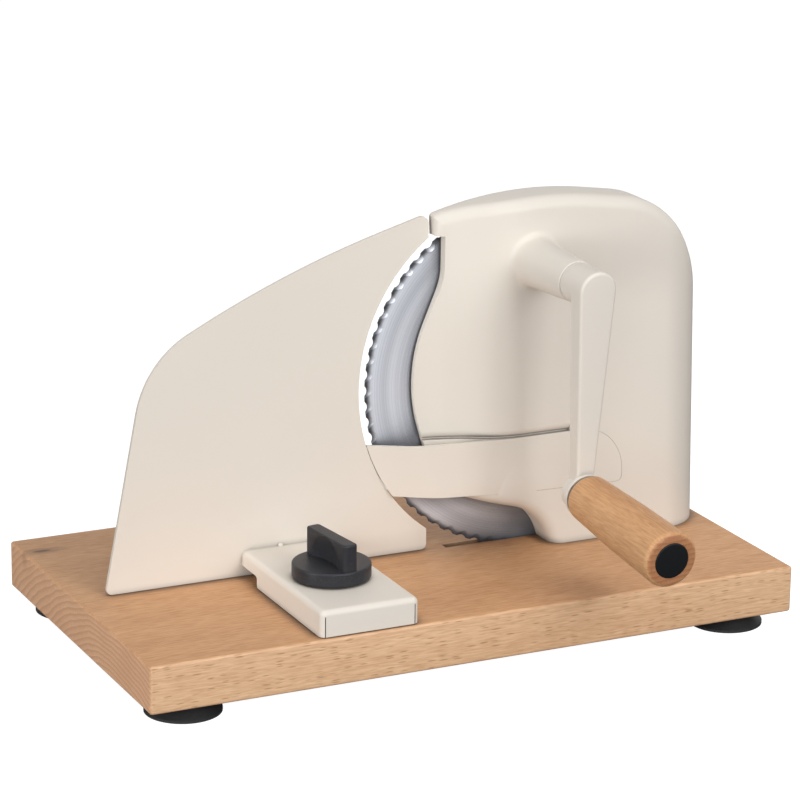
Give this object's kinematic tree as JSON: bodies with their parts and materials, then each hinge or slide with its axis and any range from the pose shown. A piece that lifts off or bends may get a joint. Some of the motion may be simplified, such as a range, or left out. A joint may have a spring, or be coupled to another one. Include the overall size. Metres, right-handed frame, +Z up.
{
  "type": "hand-cranked bread slicer",
  "caption": "Hand-cranked bread slicer: a wooden board carries a cast housing with a geared, serrated round blade and a crank, and a sliding fence sets the slice thickness.",
  "frame": {"origin": "on the table plane that the feet rest on, under the middle of the slicer's length and of its depth with the grip", "axes": "+X along the board towards the housing, +Y across the board towards the side where the loaf lies, +Z up"},
  "size_m": [0.36, 0.2698, 0.2241],
  "materials": {
    "board_beech": "oiled beech, fine grain along the board",
    "grip_beech": "turned beech, satin lacquer",
    "cream_coat": "matte warm cream powder coat",
    "blade_steel": "satin stainless steel, turned grain",
    "zinc_steel": "bright zinc plated steel",
    "bronze": "sintered bronze or brass, bare",
    "white_plastic": "off-white acetal",
    "charcoal_plastic": "matte charcoal moulded plastic",
    "black_plastic": "black moulded plug, satin",
    "black_rubber": "matte black rubber",
    "cover_aluminium": "bare sheet, satin"
  },
  "bodies": {
    "base": {"base_board": "board_beech", "suction_feet": "black_rubber", "foot_screws": "zinc_steel", "housing_shell": "cream_coat", "housing_screws": "zinc_steel", "gear_cover": "cover_aluminium", "gear_cover_screws": "zinc_steel", "slice_deflector": "cream_coat", "deflector_screws": "zinc_steel", "front_bush": "bronze", "rear_bush": "bronze", "blade_axle": "zinc_steel", "axle_washer": "zinc_steel", "axle_screw": "zinc_steel", "guide_block": "white_plastic", "guide_block_screws": "zinc_steel", "threaded_insert": "bronze"},
    "crank": {"crank_shaft": "zinc_steel", "crank_gear": "bronze", "shaft_retaining_ring": "zinc_steel", "crank_arm": "cream_coat", "crank_arm_screw": "zinc_steel", "handle_pin": "zinc_steel"},
    "grip": {"handle_grip": "grip_beech", "handle_end_plug": "black_plastic"},
    "blade_unit": {"slicing_blade": "blade_steel", "blade_gear": "white_plastic", "blade_bush": "bronze", "blade_screws": "zinc_steel"},
    "fence": {"fence_plate": "cream_coat", "clamp_cover": "cream_coat"},
    "knob": {"clamp_knob": "charcoal_plastic", "knob_stud": "zinc_steel", "knob_washer": "zinc_steel"}
  },
  "joints": [
    {"name": "crank_turn", "type": "hinge", "parent": "base", "child": "crank", "pos_m": [0.067, 0.03395, 0.19051], "axis": [0, 1, 0], "continuous": true},
    {"name": "blade_spin", "type": "hinge", "parent": "base", "child": "blade_unit", "pos_m": [0.075, 0.03395, 0.125], "axis": [0, 1, 0], "continuous": true},
    {"name": "handle_spin", "type": "hinge", "parent": "crank", "child": "grip", "pos_m": [0.067, -0.04506, 0.08144], "axis": [0, 0.9971, 0.0767], "continuous": true},
    {"name": "fence_slide", "type": "slide", "parent": "base", "child": "fence", "axis": [0, -1, 0], "range_m": [0, 0.015]},
    {"name": "knob_turn", "type": "hinge", "parent": "base", "child": "knob", "pos_m": [-0.0635, -0.02005, 0], "axis": [0, 0, 1], "range_deg": [0, 270]}
  ],
  "couplings": [
    {"joint": "blade_spin", "follows": "crank_turn", "ratio": -0.73684}
  ]
}
